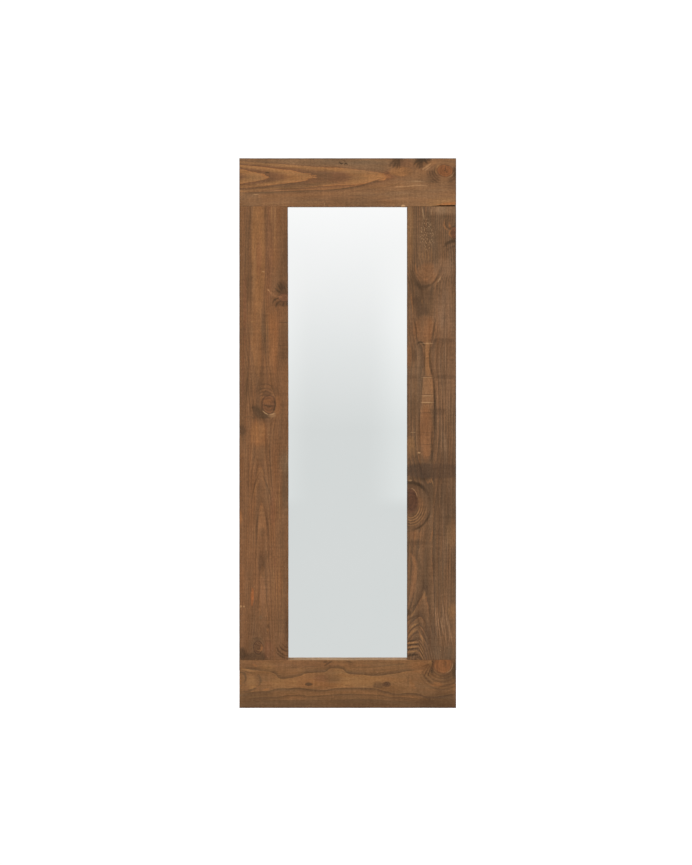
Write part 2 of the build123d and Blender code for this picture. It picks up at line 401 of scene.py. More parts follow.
def ring_arc():
    """A part of an oval line, strongest toward one bearing and fading at its ends."""
    tree, given, result = effect(
        "ring arc",
        {"place": HERE, "centre": HERE, "half size": SIZE, "bearing": 0.0, "span": 1.0, "width": 0.002,
         "ragged": 0.0},
        ("mask",),
    )
    away = vectors("SUBTRACT", given["place"], given["centre"])
    away = vectors("MULTIPLY", away, (1.0, 1.0, 0.0))
    plain = vectors("DIVIDE", away, given["half size"])
    radius = length_of(plain)
    distance = sums("DIVIDE", length_of(away), sums("MAXIMUM", radius, 0.01))
    off = times(minus(radius, 1.0), distance)
    off = sums("ABSOLUTE", sums("MULTIPLY_ADD", given["ragged"], given["width"], off))
    band = fall(sums("DIVIDE", off, given["width"]), 0.15, 0.8)
    turn = times(given["bearing"], -1.0)
    turned = put("VectorRotate", plain, None, None, turn, rotation_type="Z_AXIS")
    parts = put("SeparateXYZ", turned).node.outputs
    swing = sums("ABSOLUTE", sums("ARCTAN2", parts[1], parts[0]))
    ends = fall(sums("DIVIDE", swing, given["span"]), 0.45, 1.0)
    join(times(band, ends), result["mask"])
    return tree


def sawn_fibre():
    """Fibre along the grain, faint saw lines across it, specks, and slow blotches of stain."""
    tree, given, result = effect(
        "sawn fibre", {"along": 0.0, "across": 0.0, "depth": 0.0},
        ("fibre", "thread", "saw", "blotch", "warmth"),
    )
    spot = put("CombineXYZ", given["along"], given["across"], given["depth"])
    for name, along, across, detail, roughness in (
        ("fibre", 9.0, 110.0, 3.0, 0.6), ("thread", 110.0, 260.0, 3.0, 0.75),
        ("saw", 130.0, 12.0, 3.0, 0.6), ("blotch", 9.0, 24.0, 4.0, 0.6),
        ("warmth", 6.0, 40.0, 3.0, 0.6),
    ):
        join(grains(spot, (along, across, across), detail, roughness), result[name])
    return tree


RINGS, LINE, KNOT, PATCH = growth_rings(), growth_line(), branch_knot(), stain_patch()
STROKE, ARC, FIBRE = brush_stroke(), ring_arc(), sawn_fibre()

BARK = paint(67, 49, 32)
DARK = paint(88, 63, 43)
UMBER = paint(104, 76, 52)
GREY = paint(116, 92, 68)
ROSY = paint(126, 84, 58)
BROWN = paint(128, 90, 60)
TAN = paint(160, 115, 72)
ORANGE = paint(160, 105, 62)
PALE = paint(190, 148, 106)
RAW = paint(178, 141, 109)

LINE_END = 30 * MM
FRAY_REACH = 1.9
FACE_GRAIN = 60.0
PAINTED_EDGE_SHADE = (0.5 * MM, 4.5 * MM)


def flat(along, across, depth=0):
    """A place or a size on a board's face, given in millimetres."""
    return (along * MM, across * MM, depth)


class Timber:
    """The figure on one length of a board: its knots, rings and stains, with places in millimetres."""

    def __init__(self, name, grain, start=-math.inf, end=math.inf):
        self.start, self.end = start, end
        self.material = bpy.data.materials.new(name)
        self.material.use_nodes = True
        spot = put("TexCoord", tree=self.material.node_tree, out=3)
        self.where = put("SeparateXYZ", spot).node.outputs
        x, y, z = self.where
        self.axis = "XYZ".index(grain)
        self.along, self.across = (z, x) if grain == "Z" else (x, z)
        self.depth = minus(y, board_front)
        self.place = put("CombineXYZ", self.along, self.across, self.depth)
        self.ragged = minus(grains(self.place, (45.0, 240.0, FACE_GRAIN), 3.0, 0.6), 0.5)
        self.shift = 0.0
        self.knots = []
        self.colour = BROWN

    def profile(self, points):
        """A smooth curve along the board through (along, value) points."""
        places, values = zip(*sorted(points))
        first, last = places[0], places[-1]
        low, high = min(values), max(values) + 1e-3
        unit = put("MapRange", self.along, first * MM, last * MM, 0.0, 1.0)
        curve = put("FloatCurve", 1.0, unit).node
        marks = curve.mapping.curves[0].points
        handles = [
            ((place - first) / (last - first), (value - low) / (high - low))
            for place, value in zip(places, values)
        ]
        marks[0].location, marks[1].location = handles[0], handles[-1]
        for handle in handles[1:-1]:
            marks.new(*handle)
        curve.mapping.update()
        return put("MapRange", curve.outputs[0], 0.0, 1.0, low * MM, high * MM)

    def reaches(self, along, reach):
        """Whether a mark that spreads so far from its middle shows on this length."""
        return self.start - reach <= along <= self.end + reach

    def lay(self, colour, mask, amount):
        self.colour = over(times(mask, amount), self.colour, colour)

    def tint(self, tone):
        self.colour = over(1.0, self.colour, tone, "MULTIPLY")

    def knot(self, along, across, half_along, half_across, turn=0, bend=0.9, seed=0.0, heart=ORANGE,
             dark=DARK, rim=0.6, figure=0.5, crack=0.7):
        """A knot that pushes the grain aside; it is laid on by show_knots."""
        made = use(
            KNOT, place=self.place, shift=self.shift, centre=flat(along, across),
            half_size=flat(half_along, half_across, 1), turn=math.radians(-turn), bend=bend, seed=seed,
        )
        self.shift = made["shift"]
        self.knots.append((made, heart, dark, rim, figure, crack))

    def show_knots(self):
        for made, heart, dark, rim, figure, crack in self.knots:
            self.lay(dark, made["rim"], rim)
            self.lay(over(times(made["figure"], figure), heart, dark), made["core"], 1.0)
            self.lay(BARK, times(made["crack"], made["core"]), crack)

    def grain_line(self):
        """The place across the board, as the knots have pushed it."""
        return plus(self.across, self.shift)

    def rings(self, axis, pith, pitch, start, tones, plain, calm, jag):
        """The rings, coloured from just outside one late-wood line to the next, and plain farther out."""
        made = use(
            RINGS, along=self.along, across=self.grain_line(), depth=self.depth, ragged=self.ragged,
            axis=self.profile(axis), pith=self.profile(pith), pitch=pitch * MM, start=start * MM,
            jag=jag * MM,
        )
        ramp = put("ValToRGB", made["phase"]).node
        stops = ramp.color_ramp.elements
        stops[0].position, stops[0].color = tones[0]
        stops[1].position, stops[1].color = tones[-1]
        for position, colour in tones[1:-1]:
            stops.new(position).color = colour
        near, far, amount = calm
        outer = times(ease(made["radius"], near * MM, far * MM), amount)
        self.colour = over(outer, ramp.outputs[0], plain)

    def line(self, colour, points, fade, amount, fringe=TAN, glow=0.3, jag=2.0):
        """A late-wood line through the points, dark on the side and over the width that fade gives."""
        made = use(
            LINE, across=self.grain_line(), line=self.profile(points), ragged=self.ragged,
            fade=fade * MM, jag=jag * MM,
        )
        first, last = min(points)[0] * MM, max(points)[0] * MM
        ends = times(
            ease(self.along, first, first + LINE_END), fall(self.along, last - LINE_END, last)
        )
        self.lay(fringe, times(made["fringe"], ends), glow)
        self.lay(colour, times(made["shade"], ends), amount)

    def mask(self, group, **values):
        """The mask of one mark on the face, its edge ragged."""
        return use(group, place=self.place, ragged=self.ragged, **values)["mask"]

    def patch(self, along, across, half_along, half_across, soft=0.4, fray=0.8):
        """The mask of a soft spot with a frayed edge."""
        size = flat(half_along, half_across, 1)
        return self.mask(PATCH, centre=flat(along, across), half_size=size, fray=fray, soft=soft)

    def stains(self, colour, *spots):
        """Spots of one colour: middle, half sizes, amount, and how soft and frayed the edge is."""
        for along, across, half_along, half_across, amount, *edge in spots:
            if self.reaches(along, FRAY_REACH * half_along):
                self.lay(colour, self.patch(along, across, half_along, half_across, *edge), amount)

    def flecks(self, colour, along, across, half_along, half_across, amount, stretch, low, high):
        """A patch broken up into flecks, so many to a metre along and across the grain."""
        if not self.reaches(along, FRAY_REACH * half_along):
            return
        patch = self.patch(along, across, half_along, half_across, soft=0.3, fray=0.6)
        spot = put("CombineXYZ", self.along, self.grain_line(), self.depth)
        broken = ease(grains(spot, (*stretch, FACE_GRAIN), 2.0), low, high)
        self.lay(colour, times(patch, broken), amount)

    def strokes(self, colour, *streaks):
        """Tapering streaks of one colour: from, to, width, amount, and a bow to one side."""
        for along, across, far_along, far_across, width, amount, *bow in streaks:
            bow = bow[0] if bow else 0.0
            reach = abs(far_along - along) / 2 + width + abs(bow)
            if self.reaches((along + far_along) / 2, reach):
                mask = self.mask(
                    STROKE, start=flat(along, across), end=flat(far_along, far_across), bow=bow * MM,
                    width=width * MM,
                )
                self.lay(colour, mask, amount)

    def arcs(self, colour, *rings):
        """Parts of oval rings of one colour: middle, half sizes, bearing and span, width, amount."""
        for along, across, half_along, half_across, bearing, span, width, amount in rings:
            if self.reaches(along, half_along + 2 * width):
                mask = self.mask(
                    ARC, centre=flat(along, across), half_size=flat(half_along, half_across, 1),
                    bearing=math.radians(bearing), span=math.radians(span), width=width * MM,
                )
                self.lay(colour, mask, amount)

    def finish(self, board, wash):
        """Fibre, saw lines, painted shade along the outer edges of the frame and a wash over the figure,
        and the shader on this length.
        """
        x, _, z = self.where
        made = use(FIBRE, along=self.along, across=self.grain_line(), depth=self.depth)
        for name, depth in (("fibre", 0.12), ("thread", 0.24), ("saw", 0.1), ("blotch", 0.16)):
            self.tint(spread(made[name], 1.0 - depth, 1.0 + depth))
        specks = ease(grains(self.place, (210.0, 330.0, FACE_GRAIN), 1.0), 0.72, 0.8)
        self.lay(PALE, specks, 0.45)
        self.tint(over(spread(made["warmth"]), (1.05, 0.97, 0.9, 1), (0.97, 1.01, 1.06, 1)))
        # Painted shade: a dark band along the outer sides, head and foot of the frame.
        right, top = cad_box[1][0], cad_box[1][2]
        inset = sums("MINIMUM", minus(right, sums("ABSOLUTE", x)), z)
        inset = sums("MINIMUM", inset, minus(top, z))
        self.lay(BARK, fall(inset, *PAINTED_EDGE_SHADE), 0.45)
        self.tint((*wash, 1.0))
        shader = self.material.node_tree.nodes["Principled BSDF"]
        join(self.colour, shader.inputs["Base Color"])
        join(spread(made["fibre"], 0.82, 0.62), shader.inputs["Roughness"])
        shader.inputs["Specular IOR Level"].default_value = 0.2
        height = sums("MULTIPLY_ADD", made["thread"], 0.6, times(made["saw"], 0.5))
        join(put("Bump", 0.3, 0.5 * MM, None, height), shader.inputs["Normal"])
        board.data.materials.append(self.material)
        for face in board.data.polygons:
            if self.start * MM <= face.center[self.axis] < self.end * MM:
                face.material_index = len(board.data.materials) - 1


# Top rail
# The full-width board across the head of the frame, its grain level.
# Three long tongues of pale early wood open to its left, and knots crowd its right end.
# A splinter has sprung from its lower edge at the right, and leaves a narrow gap over the stile.

top_rail = sawn_board("TopRail", "top_rail")
SPLIT_START, SPLIT_LENGTH, SPLIT_HEIGHT = 274 * MM, 30 * MM, 3.8 * MM
SPLIT_REACH, SPLIT_DEPTH = 16 * MM, 12 * MM
rail_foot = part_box("top_rail")[0][2]
for vertex in top_rail.data.vertices:
    rise = vertex.co.z - rail_foot
    share = min(1.0, (vertex.co.x - SPLIT_START) / SPLIT_LENGTH)
    if share > 0 and rise < SPLIT_REACH and vertex.co.y < board_front + SPLIT_DEPTH:
        vertex.co.z += SPLIT_HEIGHT * share * (1 - rise / SPLIT_REACH)
wood = Timber("top rail wood", "X")
# The knot near the right end, and the rings: three long tongues, then plain grain.
wood.knot(
    319, 1762, 25.5, 18.5, turn=-8, seed=1.7, heart=paint(137, 88, 53), dark=paint(102, 66, 42), rim=0.5,
    figure=0.45,
)
wood.rings(
    axis=[(-356, 1743), (-263, 1742), (-107, 1743), (130, 1743), (356, 1735)],
    pith=[(-356, 32.5), (-264, 40), (-107, 50), (-5, 53.5), (130, 60), (240, 66), (356, 68)],
    pitch=10, start=0, jag=3.5,
    tones=[(0.0, paint(112, 78, 52)), (0.3, paint(122, 85, 57)), (0.62, paint(146, 104, 65)),
           (0.9, paint(153, 109, 69)), (0.98, paint(157, 106, 64))],
    plain=paint(132, 95, 64), calm=(59.5, 63, 0.85),
)
# Weathering along the upper edge, and the two late-wood lines below the tongues.
wood.stains(GREY, (-106, 1793, 260.5, 14, 0.55, 0.5), (62, 1779, 70.5, 24.5, 0.5, 0.5))
wood.stains(UMBER, (-55, 1740, 52.5, 21.5, 0.45))
wood.stains(ROSY, (-25, 1735, 33, 23, 0.35))
wood.line(
    UMBER,
    [(-356, 1689), (-307, 1692), (-222, 1695), (-127, 1699), (-45, 1702), (7, 1709), (50, 1718),
     (76, 1726), (122, 1741)],
    -13, 0.95, fringe=ORANGE, glow=0.45,
)
wood.line(
    UMBER, [(-353, 1702), (-284, 1710), (-222, 1719), (-160, 1725), (-117, 1735)], -11.5, 0.8,
    fringe=ORANGE, glow=0.4,
)
wood.strokes(UMBER, (-294, 1703, -32, 1723, 15, 0.7, -1.5))
wood.stains(UMBER, (-317, 1705, 49, 14, 0.45, 0.5))
wood.stains(GREY, (-319, 1664, 37.5, 18, 0.35))
wood.stains(UMBER, (-6, 1661, 151, 18, 0.4, 0.6))
wood.stains(paint(136, 101, 70), (253, 1682, 121.5, 42.5, 0.65))
# Two fans of dark fibre under the upper edge, with a bright bowl of wood below the first.
wood.stains(ROSY, (139, 1750, 19.5, 15, 0.5))
wood.stains(paint(156, 108, 67), (175, 1759, 37.5, 16.5, 0.9, 0.18, 0.4))
wood.arcs(UMBER, (175, 1781, 40.5, 39.5, 275, 80, 6, 0.4))
wood.stains(ROSY, (189, 1787, 21.5, 13, 0.4))
wood.stains(DARK, (161, 1793, 24, 24, 0.4, 0.5))
wood.stains(BARK, (244, 1794, 28.5, 23, 0.42, 0.5))
for along, across, width, bow in (
    (135, 1774, 8.5, -4), (147, 1768, 8.5, -1), (160, 1764, 7, 0.5), (170, 1766, 6, 0.5),
):
    wood.strokes(BARK, (169, 1807, along, across, width, 0.55, bow))
for along, across, width, bow in (
    (213, 1779, 8, -1), (223, 1771, 8.5, 0), (232, 1765, 8, -0.5), (244, 1768, 6.5, -1.5),
    (265, 1782, 7, -2),
):
    wood.strokes(BARK, (247, 1807, along, across, width, 0.75, bow))
wood.stains(BARK, (248, 1799, 24.5, 6.5, 0.75))
wood.stains(DARK, (167, 1800, 15, 5.5, 0.5))
wood.strokes(PALE, (242, 1764, 275, 1787, 7, 0.38), (251, 1761, 273, 1776, 4.5, 0.3))
# Grain packed dark round the knot, a soft dark patch to its lower left, and pale slivers at its rim.
for half_along, half_across, width, amount in (
    (34.5, 27, 5, 0.55), (42.5, 34.5, 6, 0.75), (51, 42.5, 6, 0.7), (59, 49, 4.5, 0.4),
):
    wood.arcs(DARK, (319, 1762, half_along, half_across, 212, 48, width, amount))
wood.stains(DARK, (277, 1742, 18, 20.5, 0.42, 0.5))
wood.stains(BARK, (351, 1756, 7.5, 18, 0.75))
wood.arcs(DARK, (319, 1762, 36, 29.5, 320, 40, 4.5, 0.6), (319, 1762, 42.5, 37.5, 320, 40, 6, 0.65))
wood.arcs(PALE, (320, 1761, 29, 21.5, 318, 42, 3, 0.6))
wood.arcs(TAN, (319, 1762, 30, 23, 165, 55, 4.5, 0.75))
# Faint grain that rises toward the knot.
wood.line(PALE, [(145, 1711), (194, 1714), (244, 1718), (273, 1713)], -6, 0.5, glow=0.0)
wood.line(PALE, [(198, 1729), (224, 1731), (248, 1730), (262, 1723)], -6, 0.55, glow=0.0)
wood.line(UMBER, [(-9, 1694), (39, 1701), (86, 1706), (134, 1713), (181, 1727)], -8, 0.35, glow=0.15)
wood.line(
    UMBER, [(-9, 1682), (98, 1688), (158, 1698), (230, 1701), (276, 1700), (355, 1695)], -8, 0.3,
    glow=0.15,
)
wood.line(UMBER, [(7, 1666), (106, 1672), (171, 1682), (253, 1687), (355, 1681)], -8, 0.25, glow=0.1)
# Last, soft patches of painted shade and painted light, darker and lighter where the light falls unevenly
# on the board.
wood.stains(UMBER, (203, 1768, 18, 17, 0.4, 0.6), (255, 1730, 24.5, 16, 0.4, 0.6))
wood.stains(DARK, (347, 1728, 18, 33, 0.5, 0.6))
wood.stains(TAN, (319, 1651, 55.5, 19.5, 0.6, 0.6))
wood.show_knots()
# The cracks in the knot, small nicks, a chip in the lower edge, and the sprung splinter with painted shade
# in the gap under it.
wood.strokes(
    BARK, (320, 1779, 321, 1761, 3, 0.7), (321, 1761, 328, 1755, 3, 0.6),
    (-29, 1792, -12, 1787, 5, 0.95, -4), (-14, 1781, 2, 1781, 5, 0.95, 4.5),
)
wood.strokes(DARK, (-19, 1797, -2, 1790, 4, 0.5))
wood.stains(BARK, (-263, 1756, 7, 2.5, 0.7))
wood.strokes(PALE, (-314, 1683, -291, 1685, 3, 0.5), (-76, 1658, -76, 1646, 2.5, 0.4))
wood.stains(PALE, (182, 1646, 7, 4.5, 0.9, 0.2))
wood.strokes(ORANGE, (289, 1650, 394, 1658, 9, 0.85))
# Painted shade along the gap under the sprung splinter, over the right end of the lower edge.
wood.strokes(BARK, (270, 1645, 434, 1647, 7, 0.95))
wood.finish(top_rail, wash=(1.25, 1.21, 1.16))

# Bottom rail
# The full-width board that the frame stands on, its grain level and wavy.
# A knot as wide as a plum is cut by its upper edge at the right; the lip by the glass is raw wood.

bottom_rail = sawn_board("BottomRail", "bottom_rail")
wood = Timber("bottom rail wood", "X")
# A knot cut by the upper edge, and two small ones in the middle of the board.
wood.knot(
    313, 144, 29, 29, seed=2.3, heart=paint(140, 91, 55), dark=paint(112, 72, 46), rim=0.6, figure=0.35,
    crack=0.2,
)
wood.knot(-128, 78, 11, 5, bend=0.7, seed=5.2, heart=UMBER, rim=0.7)
wood.knot(
    128, 78, 12, 8, bend=0.7, seed=6.4, heart=paint(116, 82, 55), dark=paint(60, 42, 31), rim=0.5,
    figure=0.9,
)
# Warm and dark patches of stain, and the board darker toward the foot.
wood.colour = paint(132, 93, 60)
wood.stains(ROSY, (-212, 144, 154, 16.5, 0.3, 0.6))
wood.stains(ORANGE, (-122, 84, 129.5, 21.5, 0.35, 0.5))
wood.stains(
    TAN, (-202, 85, 46, 16.5, 0.4), (-22, 99, 36, 33, 0.5), (58, 89, 67, 19.5, 0.65),
    (168, 89, 42.5, 29.5, 0.15, 0.5),
)
wood.stains(UMBER, (-301, 17, 85.5, 42.5, 0.5, 0.5), (1, 10, 367, 23, 0.75, 0.35))
wood.stains(ROSY, (-88, 97, 23, 11.5, 0.45))
# Late-wood lines that wander the length of the board.
wood.line(
    UMBER,
    [(-356, 138), (-319, 126), (-288, 123), (-252, 117), (-234, 108), (-227, 99), (-215, 96),
     (-189, 98), (-156, 105), (-135, 113), (-104, 116), (-80, 117), (-66, 123), (-52, 130),
     (-33, 130), (-15, 125), (1, 113), (17, 110), (39, 110), (70, 106), (91, 105), (134, 110),
     (172, 117), (206, 124), (248, 131), (283, 144)],
    18, 0.9, jag=2.5,
)
wood.line(
    UMBER,
    [(-356, 48), (-330, 50), (-295, 55), (-266, 56), (-242, 62), (-223, 65), (-195, 65), (-166, 68),
     (-152, 67), (-128, 64), (-109, 62), (-80, 60), (-61, 63), (-21, 67), (39, 68), (86, 67),
     (110, 62), (134, 57), (163, 51), (194, 53), (225, 53), (244, 49), (265, 44), (289, 44),
     (325, 50), (357, 55)],
    -12.5, 0.95,
)
wood.line(
    UMBER,
    [(-334, 28), (-295, 36), (-259, 38), (-233, 38), (-199, 43), (-156, 45), (-128, 41), (-80, 43),
     (-44, 46), (7, 48), (51, 48), (115, 45), (134, 41), (182, 40), (237, 33)],
    -10.5, 0.85,
)
wood.line(
    UMBER, [(-281, 25), (-189, 28), (-130, 29), (-74, 28), (7, 31), (63, 32), (109, 30), (188, 28)],
    -10, 0.5,
)
wood.line(UMBER, [(-222, 126), (-166, 130), (-124, 133), (-84, 135)], 8.5, 0.5)
wood.line(UMBER, [(-6, 140), (40, 131), (89, 133), (155, 140), (204, 144)], 8.5, 0.5)
wood.line(UMBER, [(7, 125), (47, 120), (89, 120), (145, 126), (188, 131)], 7, 0.3)
wood.line(
    DARK, [(171, 53), (204, 54), (237, 49), (270, 44), (319, 49), (362, 56)], -8, 0.55, glow=0.0,
)
# The swirl of grain at the left end.
wood.strokes(
    UMBER, (-356, 118, -336, 95, 8, 0.85, 10), (-297, 113, -296, 69, 8.5, 0.85, 11),
    (-296, 69, -353, 53, 7, 0.85, 4.5), (-343, 112, -342, 82, 6.5, 0.85, 9),
)
wood.stains(TAN, (-316, 85, 15, 20.5, 0.4))
wood.strokes(ORANGE, (-355, 118, -352, 71, 8, 0.5))
wood.strokes(TAN, (-353, 129, -297, 117, 6, 0.5), (-324, 63, -301, 72, 8, 0.6))
wood.strokes(UMBER, (-353, 124, -307, 114, 4, 0.5))
wood.strokes(ORANGE, (-312, 144, -297, 137, 7, 0.6), (-278, 59, -255, 62, 8, 0.6))
# Dark ticks by the middle of the upper edge, pale saw marks, and the stain by the small knot.
wood.strokes(
    DARK, (-82, 149, -64, 152, 5, 0.85), (-79, 137, -50, 156, 6.5, 0.85), (-9, 155, 21, 146, 5, 0.6),
    (-2, 147, 27, 138, 4.5, 0.45),
)
wood.stains(paint(96, 72, 52), (101, 76, 18, 10.5, 0.6))
for along, head, foot in (
    (-247, 105, 66), (-112, 95, 59), (-58, 128, 59), (-4, 118, 66), (52, 118, 56), (93, 66, 26),
    (165, 112, 59), (-153, 144, 112),
):
    wood.strokes(TAN, (along, head, along + 1, foot, 2.5, 0.4))
wood.strokes(TAN, (144, 84, 158, 92, 6, 0.6))
wood.strokes(DARK, (88, 69, 91, 84, 4.5, 0.4))
wood.strokes(ORANGE, (207, 95, 224, 64, 15, 0.4, -5.5))
wood.strokes(UMBER, (203, 115, 200, 72, 5, 0.45, -4))
# Whiskers and rings of dark grain below the big knot.
for along, across, width, bow in (
    (229, 128, 6, 1), (242, 112, 6.5, -4), (251, 102, 6.5, -3.5), (262, 101, 6, -1.5), (272, 105, 6, -0.5),
):
    wood.strokes(BARK, (282, 153, along, across, width, 0.75, bow))
wood.strokes(BARK, (281, 162, 279, 107, 11, 0.8, -3))
for half_along, half_across, span, width, amount in (
    (37.5, 38, 75, 5, 0.55), (46.5, 47.5, 78, 5, 0.45), (57, 58, 78, 5, 0.45), (70.5, 72, 80, 6.5, 0.6),
    (82, 83.5, 65, 4.5, 0.35),
):
    wood.arcs(DARK, (310, 144, half_along, half_across, 260, span, width, amount))
wood.stains(ORANGE, (293, 77, 16.5, 7, 0.45))
wood.stains(BARK, (350, 123, 8.5, 31, 0.75, 0.5))
wood.stains(DARK, (309, 15, 72, 41, 0.6, 0.45))
wood.stains(TAN, (271, 148, 6.5, 6.5, 0.6))
# Last, soft patches of painted shade and painted light, darker and lighter where the light falls unevenly
# on the board.
wood.stains(UMBER, (-47, 97, 24.5, 16, 0.45, 0.6), (245, 58, 21.5, 18.5, 0.4, 0.6))
wood.stains(DARK, (327, 108, 21.5, 33, 0.6, 0.6))
wood.stains(ORANGE, (239, 136, 37.5, 16, 0.4, 0.6))
wood.stains(TAN, (-265, 136, 23, 16, 0.4, 0.6))
wood.show_knots()
wood.strokes(DARK, (320, 156, 322, 129, 8, 0.45))
wood.arcs(PALE, (313, 144, 31, 30.5, 325, 50, 2.5, 0.45))
# The bare lip in front of the glass.
LIP_INSET, LIP_EDGE = 8 * MM, (157.2 * MM, 157.6 * MM)
lip = sums("LESS_THAN", sums("ABSOLUTE", wood.along), glass_high[0] - LIP_INSET)
wood.lay(RAW, times(lip, ease(wood.across, *LIP_EDGE)), 0.9)
wood.finish(bottom_rail, wash=(1.06, 1.07, 1.0))

# Left stile
# The upright board on the left, stained a warm mid brown, with three knots.
# Its inner edge is sawn a little out of true, so that it is narrower at the head.
# The figure is laid on in two lengths, each with its own material.

left_stile = sawn_board("LeftStile", "left_stile")
OUT_OF_TRUE, LEAN_START, LIP = 2.2 * MM, 0.6, 7 * MM
stile_low, stile_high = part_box("left_stile")
for vertex in left_stile.data.vertices:
    share = (vertex.co.x - stile_high[0] + LIP) / LIP
    rise = (vertex.co.z - stile_low[2]) / (stile_high[2] - stile_low[2])
    lean = (rise - LEAN_START) / (1 - LEAN_START)
    if share > 0 and lean > 0:
        vertex.co.x -= OUT_OF_TRUE * share * lean
LEFT_WASH = (1.15, 1.12, 1.05)
LEFT_LENGTHS = ((0, 940), (940, 1803))
for start, end in LEFT_LENGTHS:
    wood = Timber(f"left stile wood from {start}", "Z", start, end)
    # Three knots, and the rings of a board cut near its heart.
    wood.knot(
        1347, -208, 12.5, 19, seed=3.1, heart=paint(120, 81, 56), dark=paint(88, 61, 44), rim=0.75,
        figure=0.5, crack=0.2,
    )
    wood.knot(
        995, -259, 30, 21, seed=0.4, heart=paint(118, 79, 51), dark=paint(80, 54, 37), rim=0.7,
        figure=0.45, crack=0.0,
    )
    wood.knot(
        199, -294, 20, 14, seed=7.7, heart=paint(110, 76, 50), dark=paint(68, 48, 34), rim=0.75,
        figure=0.5, crack=0.3,
    )
    wood.rings(
        axis=[(160, -278), (432, -278), (656, -282), (774, -287), (994, -284), (1263, -302), (1645, -294)],
        pith=[(160, 35), (432, 40), (656, 45), (774, 50), (910, 54), (1059, 50), (1263, 46.6),
              (1645, 45.2)],
        pitch=5, start=0, jag=2.0,
        tones=[(0.0, paint(115, 80, 53)), (0.3, paint(121, 84, 56)), (0.62, paint(129, 90, 60)),
               (0.92, paint(136, 95, 62)), (0.985, paint(138, 93, 59))],
        plain=paint(124, 86, 57), calm=(58, 80, 0.6),
    )
    # The head of the board: a pale band beside a dark one, and rosy streaks.
    wood.stains(UMBER, (1453, -341, 213, 25.5, 0.35, 0.25), (1076, -347, 196.5, 19.5, 0.35, 0.3))
    wood.strokes(DARK, (1656, -320, 1174, -320, 6, 0.4, -2), (1240, -322, 964, -339, 5, 0.45, -3.5))
    wood.strokes(ROSY, (1456, -337, 1174, -338, 10, 0.55), (1174, -343, 971, -345, 8.5, 0.5))
    wood.stains(paint(152, 106, 66), (1515, -293, 216.5, 22.5, 0.7, 0.22, 0.4))
    wood.stains(paint(142, 97, 62), (1571, -242, 108, 33, 0.35))
    wood.stains(paint(146, 101, 64), (1272, -299, 190, 19.5, 0.55, 0.3, 0.4))
    wood.stains(ROSY, (1477, -291, 57.5, 9.5, 0.5), (1494, -259, 156, 12, 0.4, 0.35))
    wood.strokes(UMBER, (1338, -275, 1135, -267, 14, 0.55, 4.5))
    wood.strokes(DARK, (1279, -263, 1190, -261, 3, 0.45))
    wood.stains(ORANGE, (1212, -245, 110, 15, 0.35))
    wood.strokes(
        TAN, (1656, -250, 1581, -250, 4.5, 0.4), (1656, -238, 1463, -239, 4.5, 0.4),
        (1292, -265, 1200, -265, 3.5, 0.5),
    )
    wood.stains(UMBER, (1484, -204, 133, 21.5, 0.5, 0.5))
    wood.stains(DARK, (1489, -197, 85.5, 10.5, 0.4, 0.6))
    wood.stains(UMBER, (1207, -206, 72, 20.5, 0.4))
    for along in (1264, 1204, 1189, 1177, 1164, 1148):
        wood.strokes(DARK, (along, -230, along, -191, 3.5, 0.4))
    wood.strokes(DARK, (1264, -229, 1264, -193, 3.5, 0.35))
    # Dark fans above and below the upper knot, and a pale sliver beside it.
    wood.strokes(
        BARK, (1357, -214, 1379, -240, 6.5, 0.7, -1), (1358, -212, 1394, -233, 7, 0.7, 1.5),
        (1359, -208, 1397, -223, 6.5, 0.7, 1.5), (1358, -201, 1392, -212, 6.5, 0.7, 1),
    )
    wood.stains(DARK, (1375, -211, 22.5, 21.5, 0.5, 0.5))
    wood.strokes(
        BARK, (1343, -220, 1324, -247, 6.5, 0.7, 7.5), (1335, -215, 1312, -237, 6.5, 0.7, 6),
        (1333, -207, 1317, -215, 7, 0.7), (1337, -197, 1320, -200, 8, 0.7, -1.5),
    )
    wood.stains(DARK, (1329, -211, 10.5, 24.5, 0.5))
    wood.strokes(paint(150, 104, 70), (1379, -263, 1348, -223, 8.5, 0.75, 8))
    wood.strokes(PALE, (1375, -263, 1366, -257, 4, 0.5))
    # Grain heaped over the big knot, and the dark hollow to its lower left.
    wood.stains(UMBER, (1079, -288, 42.5, 21.5, 0.4))
    for along, width in ((1046, 4), (1032, 5), (1021, 5), (1011, 5)):
        wood.arcs(DARK, (along, -271, 16.5, 24.5, 10, 75, width, 0.6))
    for n in range(5):
        wood.strokes(UMBER, (1065 - 2 * n, 5 * n - 256, 1018 + 1.75 * n, 3.75 * n - 235, 3, 0.6))
    wood.stains(DARK, (1030, -267, 10.5, 12.5, 0.5), (982, -288, 31, 26, 0.45, 0.5))
    wood.arcs(BARK, (1002, -266, 42.5, 36, 212, 56, 21.5, 0.95))
    wood.strokes(BARK, (989, -312, 956, -259, 16.5, 0.7, 13.5))
    wood.arcs(DARK, (1002, -267, 48.5, 46, 228, 40, 10, 0.6))
    wood.stains(UMBER, (969, -284, 24.5, 29.5, 0.45))
    wood.arcs(UMBER, (941, -325, 15, 20.5, 0, 80, 4, 0.6))
    wood.stains(ORANGE, (990, -231, 33, 9, 0.3))
    wood.stains(PALE, (959, -248, 7, 13, 0.25))
